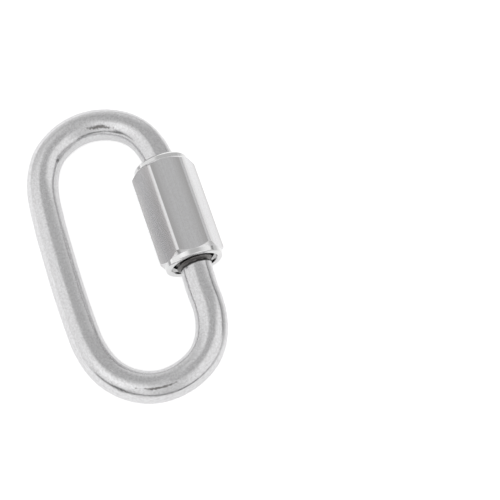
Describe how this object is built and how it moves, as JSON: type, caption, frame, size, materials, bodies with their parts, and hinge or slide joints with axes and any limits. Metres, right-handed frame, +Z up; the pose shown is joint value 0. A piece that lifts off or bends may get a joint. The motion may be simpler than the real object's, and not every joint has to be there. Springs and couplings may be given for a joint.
{
  "type": "chain quick link",
  "caption": "Oval quick link bent from round steel bar, its open leg shut by a hexagonal threaded sleeve nut, for joining chain ends and eyes.",
  "frame": {"origin": "on the surface the link lies on, under the middle of its bounding box", "axes": "+Y along the link towards the end nearest the shut nut, +X towards the leg that carries the nut, +Z up from the surface"},
  "size_m": [0.0188, 0.0346, 0.0066],
  "materials": {
    "bar_steel": "tumbled satin stainless steel",
    "nut_steel": "turned and drawn stainless steel, fine satin"
  },
  "bodies": {
    "link": {"link_bar": "bar_steel"},
    "nut": {"sleeve_nut": "nut_steel"}
  },
  "joints": [
    {"name": "nut_travel", "type": "slide", "parent": "link", "child": "nut", "axis": [0, -1, 0], "range_m": [0, 0.007]}
  ]
}
